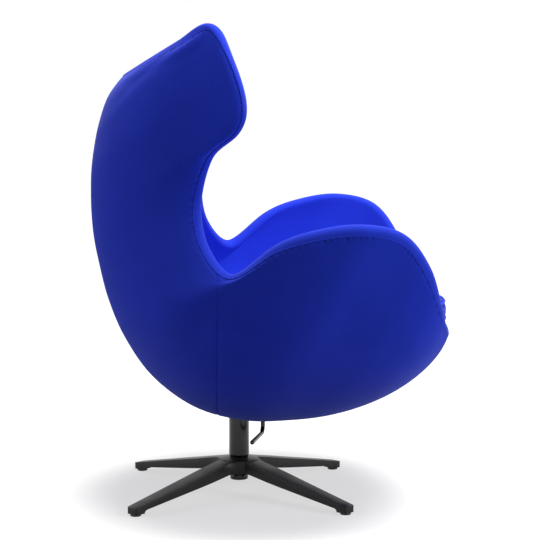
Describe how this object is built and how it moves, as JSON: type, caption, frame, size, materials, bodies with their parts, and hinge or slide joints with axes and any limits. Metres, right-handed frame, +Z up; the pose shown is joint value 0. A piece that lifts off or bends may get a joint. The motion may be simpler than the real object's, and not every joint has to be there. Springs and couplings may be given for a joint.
{
  "type": "lounge chair",
  "caption": "Upholstered lounge chair with a high winged bucket shell and loose cushion that swivels, tilts back and rises on a gas column over a flat star base.",
  "frame": {"origin": "point on the floor below the column, on the swivel axis", "axes": "+Z up along the column, the sitter faces -Y, +X is the sitter's left"},
  "size_m": [0.85, 0.8094, 1.0675],
  "materials": {
    "blue_cover": "tight woven wool, matte with a soft sheen",
    "blue_padding": "woven wool over foam",
    "fibreglass": "moulded glass-fibre shell",
    "plywood": "bare birch plywood",
    "black_cast_metal": "black powder-coated casting, satin",
    "black_tube": "black lacquered steel, semi-gloss",
    "black_plastic": "moulded nylon",
    "rubber": "black rubber",
    "steel": "zinc-plated or bright steel"
  },
  "bodies": {
    "base": {"star_base": "black_cast_metal", "foot_glide_1": "black_plastic", "foot_glide_2": "black_plastic", "foot_glide_3": "black_plastic", "foot_glide_4": "black_plastic", "column_tube": "black_tube", "guide_sleeve": "black_plastic", "thrust_race": "steel", "bearing_balls": "steel"},
    "spindle": {"piston_rod": "steel", "retaining_clip": "steel", "thrust_washer": "steel", "rubber_buffer": "rubber"},
    "lift": {"gas_cylinder": "black_tube", "tilt_housing": "black_tube", "tilt_axle": "steel", "axle_clips": "steel", "lever_pin": "steel", "return_spring_left": "steel", "return_spring_right": "steel"},
    "button": {"release_button": "steel"},
    "lever": {"release_lever": "black_tube"},
    "seat": {"top_plate": "black_tube", "plate_screws": "steel", "seat_board": "plywood", "shell_core": "fibreglass", "outer_cover": "blue_cover", "inner_padding": "blue_padding", "edge_roll": "blue_padding", "deck_pad": "blue_padding"},
    "cushion": {"seat_cushion": "blue_padding"}
  },
  "joints": [
    {"name": "swivel", "type": "hinge", "parent": "base", "child": "spindle", "pos_m": [0, 0, 0], "axis": [0, 0, 1], "continuous": true},
    {"name": "seat_lift", "type": "slide", "parent": "spindle", "child": "lift", "axis": [0, 0, 1], "range_m": [0, 0.06]},
    {"name": "button_press", "type": "slide", "parent": "lift", "child": "button", "axis": [0, 0, -1], "range_m": [0, 0.004]},
    {"name": "lever_lift", "type": "hinge", "parent": "lift", "child": "lever", "pos_m": [-0.02, -0.054, 0.254], "axis": [0, 1, 0], "range_deg": [0, 8], "stiffness_Nm_per_rad": 1, "springref_deg": -17.19},
    {"name": "seat_tilt", "type": "hinge", "parent": "lift", "child": "seat", "pos_m": [0, -0.045, 0.285], "axis": [-1, 0, 0], "range_deg": [0, 12], "stiffness_Nm_per_rad": 150, "springref_deg": -17.19, "deforming": ["return_spring_left", "return_spring_right"]},
    {"name": "cushion_lift", "type": "slide", "parent": "seat", "child": "cushion", "axis": [0, 0, 1], "range_m": [0, 0.15]}
  ],
  "couplings": [
    {"joint": "button_press", "follows": "lever_lift", "m_per_rad": 0.02578}
  ]
}
